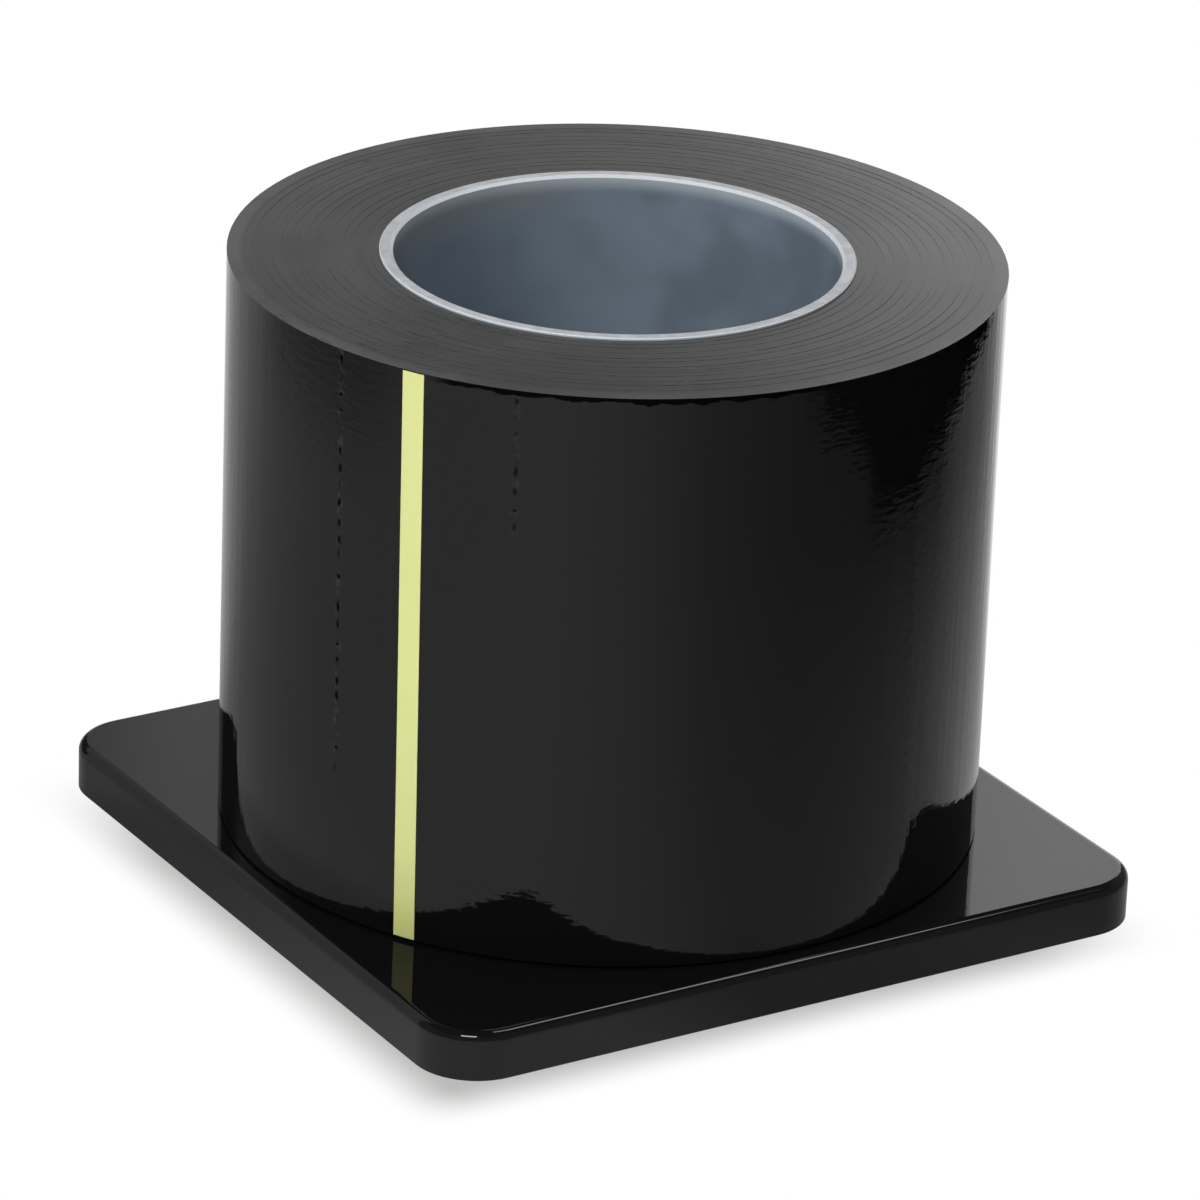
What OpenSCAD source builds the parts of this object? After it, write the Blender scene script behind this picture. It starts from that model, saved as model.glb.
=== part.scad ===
// Barrier film roll: a wide roll of black film, wound on a clear plastic core,
// that stands on end and turns on the hub of a square moulded base.
// Millimetres, +Z up, origin at the middle of the base's underside.

/* [Film] */
// Width of the film, which is the height of the wound roll
film_w = 101.6; // [76:0.2:152]
// Thickness of one turn of film
film_t = 0.046; // [0.03:0.002:0.1]
// Outer diameter of the wound film at its free end
roll_d = 132.4; // [110:0.2:180]
// Radial depth of the outermost turns, which lie straight and even
outer_w = 1.2; // [0.6:0.1:4]
// Radial width of each group of turns that wandered together
group_w = 0.8; // [0.4:0.1:3]
// How far the groups of turns wander along the roll, from lowest to highest
wander = 0.1; // [0.02:0.01:0.5]
// Direction from the roll's middle to the film's free end, in degrees
free_end_angle = 209.2; // [0:0.1:359]
// Slant of each cut across the film, which the strip and the perforations follow, in degrees
cut_slant_angle = 0.6; // [-1:0.1:1]

/* [Perforations] */
// Length of one sheet of film, from one row of perforations to the next
sheet_l = 154.6; // [140:0.2:170]
// Direction of the row of perforations that lies just behind the free end, in degrees
last_row_angle = 196.3; // [170:0.1:200]
// Distance between perforations along a row
hole_pitch = 3.175; // [2.5:0.025:6]
// Length of each perforation, along the row
hole_l = 0.9; // [0.4:0.05:1.5]
// Width of each perforation
hole_w = 0.4; // [0.2:0.05:0.8]

/* [End strip] */
// Width of the strip that holds the free end down
strip_w = 4; // [3:0.1:12]
// Thickness of the strip
strip_t = 0.12; // [0.08:0.01:0.3]
// Thickness of the adhesive between the strip and the film
glue_t = 0.03; // [0.02:0.005:0.1]
// How far the strip stops short of the film at each edge
strip_inset = 0.2; // [0:0.1:3]

/* [Core] */
// Inside diameter of the core tube
core_bore = 76.2; // [50:0.1:90]
// Wall of the core tube
core_wall = 2.35; // [1.5:0.05:4]
// How far the core stands out past the film at each end
core_proud = 0.46; // [0.4:0.02:3]
// Bevel inside each mouth of the core
core_bevel = 0.5; // [0.2:0.1:0.7]
// Bevel outside each mouth of the core
core_outer_bevel = 0.2; // [0.1:0.05:0.4]

/* [Base] */
// Side of the square base
base_side = 139.7; // [120:0.1:220]
// Height of the base up to the face that the roll stands on
base_h = 8.6; // [6:0.1:16]
// Radius of the base's corners, seen from above
base_corner_r = 11; // [6:0.5:20]
// Radius of the rounded edge round the base's top
base_edge_r = 1.85; // [1:0.05:3]
// Wall of the moulding
base_wall = 2; // [1.2:0.1:3]

/* [Hub] */
// Gap between the hub's foot and the core, all round
hub_gap = 0.6; // [0.4:0.05:2]
// Height of the hub above the base's top
hub_h = 24; // [12:1:60]
// Draft of the hub's side, in degrees
hub_draft_angle = 1; // [0.5:0.1:2.5]
// Radius of the rounded edge round the hub's top
hub_edge_r = 2.5; // [1:0.1:4]

/* [Underside ribs] */
// Number of ribs that run out from the hub
rib_count = 8; // [4:1:16]
// Thickness of each rib
rib_t = 1.4; // [0.8:0.1:2.5]
// How far the ribs stop above the rim that the base stands on
rib_lift = 1; // [0.5:0.1:2]

/* [Hidden] */
$fn = 180;
over = base_wall / 2;
core_r = core_bore / 2 + core_wall;
core_l = film_w + 2 * core_proud;
film_z = base_h + core_proud;
roll_r = roll_d / 2;
group_zone = roll_r - outer_w - core_r;
group_n = max(3, round(group_zone / group_w));
group_step = group_zone / group_n;
strip_l = film_w - 2 * strip_inset;
slant = tan(cut_slant_angle);
hub_r = core_bore / 2 - hub_gap;

// Radius of the spiral that the film makes, at a direction seen from the roll's middle
function spiral_r(a) =
    let (past_end = (a - free_end_angle + 720) % 360)
    past_end < 180 ? roll_r : roll_r - film_t * (1 + cos(past_end)) / 2;

// How far group i lies from the middle of its travel, along the roll
function drift(i) = wander / 2 * (0.6 * sin(i * 137.5) + 0.4 * sin(i * 52 + 30));

// Points of a rounded edge in a turned profile, from the side round to the top
function rounded_edge(x, y, r, steps = 8) =
    [for (k = [0:steps]) [x - r + r * cos(90 * k / steps), y - r + r * sin(90 * k / steps)]];

// The same points from the top round to the side, for an inner face
function rounded_edge_back(x, y, r, steps = 8) =
    [for (k = [steps:-1:0]) [x - r + r * cos(90 * k / steps), y - r + r * sin(90 * k / steps)]];

// Square plan with round corners
module rounded_square(side, r) {
    flat = side - 2 * r;
    square([side, flat], center = true);
    square([flat, side], center = true);
    for (x = [-1, 1], y = [-1, 1])
        translate([x * flat / 2, y * flat / 2])
            circle(r = r);
}

// Section of the block's rim, from the middle of a corner's curve out to the side
module rim_section(w, h, edge_r) {
    square([w, h - edge_r]);
    square([w - edge_r, h]);
    translate([w - edge_r, h - edge_r])
        circle(r = edge_r);
}

// Square block, round in plan, whose top edge is rounded all the way round
module moulded_block(side, h, corner_r, edge_r) {
    flat = side - 2 * corner_r;
    linear_extrude(h)
        square(flat, center = true);
    for (a = [0:90:270])
        rotate(a)
            translate([flat / 2, flat / 2, 0]) {
                rotate([90, 0, 0])
                    linear_extrude(flat)
                        rim_section(corner_r, h, edge_r);
                rotate_extrude(angle = 90)
                    rim_section(corner_r, h, edge_r);
            }
}

// Flat top and skirt of the base, open below, with a round hole where the hub rises
module plate() {
    difference() {
        moulded_block(base_side, base_h, base_corner_r, base_edge_r);
        translate([0, 0, -over])
            moulded_block(base_side - 2 * base_wall, base_h - base_wall + over,
                base_corner_r - base_wall, base_edge_r / 2);
        cylinder(r = hub_r - base_wall / 2, h = base_h + over);
    }
}

// Hollow hub: its wall starts level with the ribs, goes through the plate and closes at the top
module hub() {
    top = base_h + hub_h;
    draft_in = hub_h * tan(hub_draft_angle);
    rotate_extrude()
        polygon(concat(
            [[hub_r - base_wall, rib_lift], [hub_r, rib_lift], [hub_r, base_h]],
            rounded_edge(hub_r - draft_in, top, hub_edge_r),
            [[0, top], [0, top - base_wall]],
            rounded_edge_back(hub_r - draft_in - base_wall, top - base_wall, hub_edge_r / 2),
            [[hub_r - base_wall, base_h]]));
}

// Ribs under the base, from the hub's wall out to the skirt
module ribs() {
    top = base_h - base_wall / 2;
    intersection() {
        for (k = [0:rib_count - 1])
            rotate(360 * (k + 0.5) / rib_count)
                translate([hub_r - base_wall / 2, -rib_t / 2, rib_lift])
                    cube([base_side, rib_t, top - rib_lift]);
        linear_extrude(base_h)
            rounded_square(base_side - base_wall, base_corner_r - base_wall / 2);
    }
}

module base() {
    color("#121214") {
        plate();
        hub();
        ribs();
    }
}

module core() {
    inner = core_bore / 2;
    color("#aeb9c4")
        translate([0, 0, base_h])
            rotate_extrude()
                polygon([
                    [inner + core_bevel, 0],
                    [core_r - core_outer_bevel, 0],
                    [core_r, core_outer_bevel],
                    [core_r, core_l - core_outer_bevel],
                    [core_r - core_outer_bevel, core_l],
                    [inner + core_bevel, core_l],
                    [inner, core_l - core_bevel],
                    [inner, core_bevel]]);
}

// Section of the inner turns: each group keeps the film's width and lies a little up or down
function group_edges(z) = [
    for (i = [0:group_n - 1], side = [0, 1])
        [core_r + (i + side) * group_step, z + drift(i)]];

// The inner turns, with the plain middle of the roll reaching into the outermost turns
module inner_turns() {
    low = group_edges(0);
    high = group_edges(film_w);
    rotate_extrude() {
        polygon(concat(low, [for (i = [len(high) - 1:-1:0]) high[i]]));
        translate([core_r, wander])
            square([group_zone + outer_w / 2, film_w - 2 * wander]);
    }
}

// Disc with a two-centre spiral edge that steps in by one turn of film at the free end
module spiral_disc(r) {
    rotate(free_end_angle) {
        intersection() {
            circle(r = r);
            translate([-2 * r, 0])
                square([4 * r, 2 * r]);
        }
        intersection() {
            translate([-film_t / 2, 0])
                circle(r = r - film_t / 2);
            translate([-2 * r, -2 * r])
                square([4 * r, 2 * r]);
        }
    }
}

// The outermost turns, where the film's free end shows as a step down the side
module outer_shell() {
    linear_extrude(film_w)
        difference() {
            spiral_disc(roll_r);
            circle(r = roll_r - outer_w);
        }
}

// Rows of perforations through the outermost turn, one at the end of each sheet
module perforations() {
    row_step = sheet_l / roll_r * 180 / PI;
    rows = floor(360 / row_step);
    holes = floor(film_w / hole_pitch);
    for (row = [0:rows], k = [0:holes - 1]) {
        up = (k - (holes - 1) / 2) * hole_pitch;
        row_a = last_row_angle - row * row_step - up * slant / roll_r * 180 / PI;
        rotate(row_a)
            translate([spiral_r(row_a) - film_t, -hole_w / 2, film_w / 2 + up - hole_l / 2])
                cube([outer_w, hole_w, hole_l]);
    }
}

module film_roll() {
    color("#1c1c1e")
        translate([0, 0, film_z]) {
            inner_turns();
            difference() {
                outer_shell();
                perforations();
            }
        }
}

// Outline of the strip as it lies on the roll's side, slanted like the free end
module strip_outline() {
    shift = strip_l / 2 * slant;
    polygon([
        [shift - strip_w / 2, 0],
        [shift + strip_w / 2, 0],
        [strip_w / 2 - shift, strip_l],
        [-shift - strip_w / 2, strip_l]]);
}

module end_strip() {
    color("#d8e09a")
        translate([0, 0, film_z + strip_inset])
            intersection() {
                linear_extrude(strip_l)
                    difference() {
                        spiral_disc(roll_r + glue_t + strip_t);
                        spiral_disc(roll_r + glue_t);
                    }
                rotate(free_end_angle)
                    translate([roll_r - strip_w / 2, 0, 0])
                        rotate([90, 0, 90])
                            linear_extrude(strip_w)
                                strip_outline();
            }
}

base();
core();
film_roll();
end_strip();
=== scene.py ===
import bpy
import math
import random
from mathutils import Matrix, Vector


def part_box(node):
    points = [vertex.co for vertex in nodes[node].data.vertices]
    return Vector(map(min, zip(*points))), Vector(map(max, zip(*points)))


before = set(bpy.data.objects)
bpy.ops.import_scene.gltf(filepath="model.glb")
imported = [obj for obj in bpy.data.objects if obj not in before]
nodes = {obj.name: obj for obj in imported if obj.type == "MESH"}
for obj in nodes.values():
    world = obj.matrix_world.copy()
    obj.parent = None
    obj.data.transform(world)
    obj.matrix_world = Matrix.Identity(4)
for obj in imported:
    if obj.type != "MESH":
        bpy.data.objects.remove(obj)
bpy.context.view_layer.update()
print("frame loaded")

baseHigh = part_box("base")[1]
coreLow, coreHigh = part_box("core")
filmLow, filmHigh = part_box("film_roll")
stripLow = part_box("end_strip")[0]


# camera
view = {
    "turn": -32.001,  # degrees round the object, from the front
    "rise": 23.190,
    "lean": 2.204,
    "distance": 1.18498,
    "target": (-0.03166, -0.04917, 0.07202),
    "sensor": 36.0,
    "lens": 216.88,
}


def makeCamera():
    turn, rise, lean = (math.radians(view[k]) for k in ("turn", "rise", "lean"))
    back = Vector((math.sin(turn) * math.cos(rise), -math.cos(turn) * math.cos(rise), math.sin(rise)))
    right = Vector((math.cos(turn), math.sin(turn), 0))
    up = back.cross(right)
    leanRight = right * math.cos(lean) + up * math.sin(lean)
    leanUp = up * math.cos(lean) - right * math.sin(lean)
    data = bpy.data.cameras.new("photoCamera")
    data.lens, data.sensor_width, data.sensor_fit = view["lens"], view["sensor"], "HORIZONTAL"
    data.clip_end = 20
    camera = bpy.data.objects.new("photoCamera", data)
    bpy.context.scene.collection.objects.link(camera)
    place = Matrix((leanRight, leanUp, back)).transposed().to_4x4()
    place.translation = Vector(view["target"]) + back * view["distance"]
    camera.matrix_world = place
    bpy.context.scene.camera = camera


# small helpers for node trees
def addNode(tree, kind, x, y, values=None, **settings):
    node = tree.nodes.new(kind)
    node.location = (x, y)
    for name, value in settings.items():
        setattr(node, name, value)
    for name, value in (values or {}).items():
        node.inputs[name].default_value = value
    return node


def link(tree, source, target):
    tree.links.new(source, target)


def mathNode(tree, x, y, operation, first, second=None, third=None, clamp=False):
    node = addNode(tree, "ShaderNodeMath", x, y, operation=operation, use_clamp=clamp)
    for socket, value in zip(node.inputs, (first, second, third)):
        if value is None:
            continue
        if isinstance(value, (int, float)):
            socket.default_value = value
        else:
            link(tree, value, socket)
    return node.outputs[0]


def rangeNode(tree, x, y, value, low, high, toLow=0.0, toHigh=1.0, smooth=True):
    node = addNode(tree, "ShaderNodeMapRange", x, y)
    node.interpolation_type = "SMOOTHSTEP" if smooth else "LINEAR"
    link(tree, value, node.inputs["Value"])
    for name, number in (("From Min", low), ("From Max", high), ("To Min", toLow), ("To Max", toHigh)):
        if isinstance(number, (int, float)):
            node.inputs[name].default_value = number
        else:
            link(tree, number, node.inputs[name])
    return node.outputs["Result"]


def mixColor(tree, x, y, factor, first, second, blend="MIX"):
    node = addNode(tree, "ShaderNodeMix", x, y, data_type="RGBA", blend_type=blend)
    sockets = (node.inputs[0], node.inputs[6], node.inputs[7])
    for socket, value in zip(sockets, (factor, first, second)):
        if isinstance(value, (int, float, tuple)):
            socket.default_value = value
        else:
            link(tree, value, socket)
    return node.outputs[2]


def newGroup(name, inputs, outputs):
    group = bpy.data.node_groups.new(name, "ShaderNodeTree")
    for label, kind, value in inputs:
        socket = group.interface.new_socket(label, in_out="INPUT", socket_type=kind)
        if value is not None:
            socket.default_value = value
    for label, kind in outputs:
        group.interface.new_socket(label, in_out="OUTPUT", socket_type=kind)
    start = addNode(group, "NodeGroupInput", -1200, 0)
    end = addNode(group, "NodeGroupOutput", 900, 0)
    return group, start, end


def useGroup(tree, group, x, y, **values):
    node = addNode(tree, "ShaderNodeGroup", x, y, node_tree=group)
    for name, value in values.items():
        socket = node.inputs[name]
        if isinstance(value, (int, float, tuple)):
            socket.default_value = value
        else:
            link(tree, value, socket)
    return node


def newMaterial(name):
    material = bpy.data.materials.new(name)
    material.use_nodes = True
    tree = material.node_tree
    tree.nodes.clear()
    output = addNode(tree, "ShaderNodeOutputMaterial", 900, 0)
    return material, tree, output


def useMaterial(obj, material):
    obj.data.materials.clear()
    obj.data.materials.append(material)


# shared effects
def buildRollSpace():
    group, start, end = newGroup(
        "rollSpace",
        [],
        [("Radius", "NodeSocketFloat"), ("Angle", "NodeSocketFloat"), ("Height", "NodeSocketFloat"),
         ("Position", "NodeSocketVector")],
    )
    place = addNode(group, "ShaderNodeTexCoord", -1000, 0)
    split = addNode(group, "ShaderNodeSeparateXYZ", -800, 0)
    link(group, place.outputs["Object"], split.inputs[0])
    squareX = mathNode(group, -600, 200, "MULTIPLY", split.outputs["X"], split.outputs["X"])
    squareSum = mathNode(group, -400, 200, "MULTIPLY_ADD", split.outputs["Y"], split.outputs["Y"], squareX)
    radius = mathNode(group, -200, 200, "SQRT", squareSum)
    angle = mathNode(group, -400, 0, "ARCTAN2", split.outputs["Y"], split.outputs["X"])
    degrees = mathNode(group, -200, 0, "DEGREES", angle)
    link(group, radius, end.inputs["Radius"])
    link(group, degrees, end.inputs["Angle"])
    link(group, split.outputs["Z"], end.inputs["Height"])
    link(group, place.outputs["Object"], end.inputs["Position"])
    return group


def buildWindLines():  # fine wrinkles that run round the roll where the film was pulled tight
    group, start, end = newGroup(
        "windLines",
        [("Position", "NodeSocketVector", None), ("Along", "NodeSocketFloat", 120.0),
         ("Across", "NodeSocketFloat", 1200.0), ("Detail", "NodeSocketFloat", 2.0)],
        [("Height", "NodeSocketFloat")],
    )
    size = addNode(group, "ShaderNodeCombineXYZ", -900, -200)
    link(group, start.outputs["Along"], size.inputs["X"])
    link(group, start.outputs["Along"], size.inputs["Y"])
    link(group, start.outputs["Across"], size.inputs["Z"])
    stretch = addNode(group, "ShaderNodeVectorMath", -700, 0, operation="MULTIPLY")
    link(group, start.outputs["Position"], stretch.inputs[0])
    link(group, size.outputs[0], stretch.inputs[1])
    noise = addNode(group, "ShaderNodeTexNoise", -450, 0, {"Scale": 1.0, "Roughness": 0.55})
    link(group, stretch.outputs[0], noise.inputs["Vector"])
    link(group, start.outputs["Detail"], noise.inputs["Detail"])
    link(group, noise.outputs["Fac"], end.inputs["Height"])
    return group


def buildEndGrain():  # edges of the turns, seen on the end of the roll
    group, start, end = newGroup(
        "endGrain",
        [("Position", "NodeSocketVector", None), ("Radius", "NodeSocketFloat", 0.0),
         ("Lines", "NodeSocketFloat", 2000.0), ("Length", "NodeSocketFloat", 30.0),
         ("Seed", "NodeSocketFloat", 0.0)],
        [("Mask", "NodeSocketFloat")],
    )
    split = addNode(group, "ShaderNodeSeparateXYZ", -1000, -300)
    link(group, start.outputs["Position"], split.inputs[0])
    ringed = mathNode(group, -800, 100, "MULTIPLY_ADD", start.outputs["Radius"], start.outputs["Lines"],
                      start.outputs["Seed"])
    besideX = mathNode(group, -800, -100, "MULTIPLY", split.outputs["X"], start.outputs["Length"])
    besideY = mathNode(group, -800, -300, "MULTIPLY", split.outputs["Y"], start.outputs["Length"])
    joined = addNode(group, "ShaderNodeCombineXYZ", -600, 0)
    link(group, ringed, joined.inputs["X"])
    link(group, besideX, joined.inputs["Y"])
    link(group, besideY, joined.inputs["Z"])
    noise = addNode(group, "ShaderNodeTexNoise", -400, 0, {"Scale": 1.0, "Detail": 3.0, "Roughness": 0.6})
    link(group, joined.outputs[0], noise.inputs["Vector"])
    link(group, noise.outputs["Fac"], end.inputs["Mask"])
    return group


def buildMottle():  # slow cloudy change of tone
    group, start, end = newGroup(
        "mottle",
        [("Position", "NodeSocketVector", None), ("Scale", "NodeSocketFloat", 60.0),
         ("Detail", "NodeSocketFloat", 2.0), ("Low", "NodeSocketFloat", 0.35),
         ("High", "NodeSocketFloat", 0.65)],
        [("Mask", "NodeSocketFloat")],
    )
    noise = addNode(group, "ShaderNodeTexNoise", -500, 0, {"Roughness": 0.5})
    link(group, start.outputs["Position"], noise.inputs["Vector"])
    link(group, start.outputs["Scale"], noise.inputs["Scale"])
    link(group, start.outputs["Detail"], noise.inputs["Detail"])
    mask = rangeNode(group, -250, 0, noise.outputs["Fac"], start.outputs["Low"], start.outputs["High"])
    link(group, mask, end.inputs["Mask"])
    return group


def buildPerforationRow():  # one row of small uneven holes up the side of the roll
    group, start, end = newGroup(
        "perforationRow",
        [("Position", "NodeSocketVector", None), ("Angle", "NodeSocketFloat", 0.0),
         ("Height", "NodeSocketFloat", 0.0), ("Row Angle", "NodeSocketFloat", 0.0),
         ("Slant", "NodeSocketFloat", 9.1), ("Middle", "NodeSocketFloat", 0.06),
         ("Pitch", "NodeSocketFloat", 0.003175), ("Half Length", "NodeSocketFloat", 0.0006),
         ("Half Width", "NodeSocketFloat", 0.3), ("Fade", "NodeSocketFloat", 0.03)],
        [("Hole", "NodeSocketFloat"), ("Pucker Glint", "NodeSocketFloat")],
    )
    fromMiddle = mathNode(group, -1100, 0, "SUBTRACT", start.outputs["Height"], start.outputs["Middle"])
    straight = mathNode(group, -1000, 200, "MULTIPLY_ADD", fromMiddle, start.outputs["Slant"],
                        start.outputs["Angle"])
    away = mathNode(group, -900, 200, "SUBTRACT", straight, start.outputs["Row Angle"])
    wrapped = mathNode(group, -700, 200, "WRAP", away, 180.0, -180.0)
    ragged = addNode(group, "ShaderNodeTexNoise", -900, 450, {"Scale": 900.0, "Detail": 1.0})
    link(group, start.outputs["Position"], ragged.inputs["Vector"])
    pushed = mathNode(group, -650, 400, "MULTIPLY_ADD", ragged.outputs["Fac"], 0.36, -0.18)
    uneven = mathNode(group, -500, 300, "ADD", wrapped, pushed)
    sideways = mathNode(group, -350, 200, "ABSOLUTE", uneven)
    scaledSide = mathNode(group, -200, 200, "DIVIDE", sideways, start.outputs["Half Width"])
    counted = mathNode(group, -900, -100, "DIVIDE", fromMiddle, start.outputs["Pitch"])
    lifted = mathNode(group, -750, -100, "FLOOR", counted)
    chance = addNode(group, "ShaderNodeTexWhiteNoise", -600, -450, noise_dimensions="1D")
    seed = mathNode(group, -750, -450, "ADD", lifted, start.outputs["Row Angle"])
    link(group, seed, chance.inputs["W"])
    luck = addNode(group, "ShaderNodeSeparateColor", -400, -650)
    link(group, chance.outputs["Color"], luck.inputs[0])
    holePlace = rangeNode(group, -200, -650, luck.outputs["Green"], 0.0, 1.0, 0.3, 0.7, smooth=False)
    inPitch = mathNode(group, -700, -250, "SUBTRACT", counted, lifted)
    fromHole = mathNode(group, -550, -250, "SUBTRACT", inPitch, holePlace)
    stepsAway = mathNode(group, -400, -250, "ABSOLUTE", fromHole)
    risen = mathNode(group, -250, -100, "MULTIPLY", stepsAway, start.outputs["Pitch"])
    longer = mathNode(group, -400, -450, "MULTIPLY_ADD", chance.outputs["Value"], 1.1, 0.4)
    halfLength = mathNode(group, -250, -350, "MULTIPLY", longer, start.outputs["Half Length"])
    scaledRise = mathNode(group, -100, -100, "DIVIDE", risen, halfLength)
    squareSide = mathNode(group, 0, 200, "MULTIPLY", scaledSide, scaledSide)
    spread = mathNode(group, 150, 0, "MULTIPLY_ADD", scaledRise, scaledRise, squareSide)
    spot = rangeNode(group, 300, 0, spread, 0.0, 2.3, 1.0, 0.0)
    fadeTop = mathNode(group, 150, -300, "ADD", start.outputs["Fade"], 0.006)
    kept = rangeNode(group, 300, -300, start.outputs["Height"], start.outputs["Fade"], fadeTop)
    strength = rangeNode(group, 300, -550, luck.outputs["Blue"], 0.12, 0.4, 0.25, 1.0)
    seen = mathNode(group, 450, -400, "MULTIPLY", kept, strength)
    hole = mathNode(group, 600, 0, "MULTIPLY", spot, seen)
    # painted glints: flecks beside the holes where the puckered film catches light
    near = rangeNode(group, 300, 300, sideways, 0.25, 0.85, 1.0, 0.0)
    rough = addNode(group, "ShaderNodeTexNoise", -100, 500, {"Scale": 800.0, "Detail": 2.0})
    link(group, start.outputs["Position"], rough.inputs["Vector"])
    glintSpots = rangeNode(group, 150, 500, rough.outputs["Fac"], 0.5, 0.66)
    nearGlintSpots = mathNode(group, 450, 300, "MULTIPLY", near, glintSpots)
    glintMask = mathNode(group, 600, 300, "MULTIPLY", nearGlintSpots, kept)
    link(group, hole, end.inputs["Hole"])
    link(group, glintMask, end.inputs["Pucker Glint"])
    return group


def buildContactShadow():  # soft shadow on the floor, in front of a square's two near sides
    group, start, end = newGroup(
        "contactShadow",
        [("Position", "NodeSocketVector", None), ("Half Side", "NodeSocketFloat", 0.07),
         ("Reach", "NodeSocketFloat", 0.0116), ("Fade Right", "NodeSocketFloat", 0.030),
         ("Fade Left", "NodeSocketFloat", 0.045)],
        [("Mask", "NodeSocketFloat")],
    )
    split = addNode(group, "ShaderNodeSeparateXYZ", -1000, 0)
    link(group, start.outputs["Position"], split.inputs[0])
    half = start.outputs["Half Side"]
    farSide = mathNode(group, -900, -200, "MULTIPLY", half, -1.0)
    outer = mathNode(group, -700, -200, "SUBTRACT", farSide, start.outputs["Reach"])
    inner = mathNode(group, -700, -350, "ADD", farSide, 0.0019)
    rightStart = mathNode(group, -700, -500, "SUBTRACT", half, start.outputs["Fade Right"])
    leftStart = mathNode(group, -700, -650, "SUBTRACT", half, start.outputs["Fade Left"])
    edge = mathNode(group, -700, -800, "ADD", half, 0.003)
    fromLeft = rangeNode(group, -400, 300, split.outputs["X"], outer, inner)
    toRight = rangeNode(group, -400, 50, split.outputs["X"], rightStart, edge, 1.0, 0.0)
    fromFront = rangeNode(group, -400, -200, split.outputs["Y"], outer, inner)
    toBack = rangeNode(group, -400, -450, split.outputs["Y"], leftStart, edge, 1.0, 0.0)
    across = mathNode(group, -100, 150, "MULTIPLY", fromLeft, toRight)
    along = mathNode(group, -100, -250, "MULTIPLY", fromFront, toBack)
    mask = mathNode(group, 100, 0, "MULTIPLY", across, along)
    link(group, mask, end.inputs["Mask"])
    return group


rollSpace = buildRollSpace()
contactShadow = buildContactShadow()
windLines = buildWindLines()
endGrain = buildEndGrain()
mottle = buildMottle()
perforationRow = buildPerforationRow()
print("shared effects built")


# base: one glossy black moulding
baseLook = {
    "color": (0.0022, 0.0022, 0.0024, 1),
    "roughness": 0.035,
    "ripple": 0.0000012,  # moulding ripple, metres
    "rippleScale": 45.0,
    "dustRoughness": 0.10,
}


def makeBaseMaterial():
    material, tree, output = newMaterial("base gloss black")
    space = useGroup(tree, rollSpace, -900, 0)
    shader = addNode(tree, "ShaderNodeBsdfPrincipled", 500, 0, {"IOR": 1.5, "Specular IOR Level": 0.5})
    shader.inputs["Base Color"].default_value = baseLook["color"]
    dust = useGroup(tree, mottle, -600, 0, Position=space.outputs["Position"], Scale=90.0, Detail=4.0,
                    Low=0.45, High=0.8)
    rough = rangeNode(tree, -300, 0, dust.outputs["Mask"], 0.0, 1.0, baseLook["roughness"],
                      baseLook["dustRoughness"], smooth=False)
    link(tree, rough, shader.inputs["Roughness"])
    ripple = useGroup(tree, mottle, -600, -300, Position=space.outputs["Position"],
                      Scale=baseLook["rippleScale"], Detail=1.0, Low=0.0, High=1.0)
    bump = addNode(tree, "ShaderNodeBump", 100, -300, {"Strength": 1.0, "Distance": baseLook["ripple"]})
    link(tree, ripple.outputs["Mask"], bump.inputs["Height"])
    link(tree, bump.outputs[0], shader.inputs["Normal"])
    link(tree, shader.outputs[0], output.inputs["Surface"])
    useMaterial(nodes["base"], material)


# film: glossy black side, satin ends made of the turns' edges
filmLook = {
    "sideColor": (0.0022, 0.0022, 0.0025, 1),
    # painted glints: paler flecks beside the holes, where the puckered film catches light
    "puckerGlintColor": (0.012, 0.012, 0.013, 1),
    "endColor": (0.027, 0.027, 0.027, 1),
    "endDark": (0.021, 0.021, 0.021, 1),
    "endCloud": (0.014, 0.014, 0.014, 1),
    "nickColor": (0.006, 0.006, 0.006, 1),
    # painted sheen: the ledge walls drawn paler to match the reflection on the flat end
    "ledgeSheen": (0.066, 0.066, 0.066, 1),
    "ledgeReflectionInGloss": (0.50, 0.50, 0.50, 1),  # painted reflection: the ledge walls drawn bright where the end mirrors them, standing in for the backdrop they hide
    "outerBand": (0.040, 0.040, 0.040, 1),
    "sideRoughness": 0.030,
    "endRoughness": 0.19,
    "wrinkle": 0.000013,  # height of the fine wrinkles round the roll, metres
    "ridge": 0.000062,  # height of the ridges up the roll
    "slowWave": 0.000012,  # height of the long waves in the side
    "ripple": 0.000028,  # height of the small dents that make mirrored edges ragged
    "grainHeight": 0.000005,
    "holeDepth": -0.00003,
    "sideDepth": 0.0010,  # the side's finish reaches this far in, metres
    "sideBlend": 0.0002,
    "outerBandFrom": 0.0630,  # radius from which the outer turns look paler on the ends
    "outerBandTo": 0.0646,
    "outerBandShare": 0.8,
    "fineRings": 2600.0,  # rings of the turns' edges per metre of radius
    "wideRings": 420.0,
    "nickRings": 1700.0,
    "nickZoneScale": 26.0,
    "cloudScale": 48.0,
    "cloudShare": 0.6,
    # painted shade in the holes and painted dark reflection under the curled top edge
    "paintedDarkMark": (0.0008, 0.0008, 0.0008, 1),
    "curlDepth": 0.0024,  # how far down the painted dark line under the curled edge reaches at most, metres
    "curlStart": -0.0003,
    # rows of holes: direction in degrees, height below which they fade, strength
    "rows": ((196.3, 0.034, 1.0), (225.0, 0.083, 0.8), (261.4, 0.106, 0.5), (288.6, 0.098, 0.5)),
    "rimFrom": 212.0,  # where the top turn's edge curls in, with a painted dark reflection under it, degrees
    "rimTo": 271.0,
}


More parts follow.
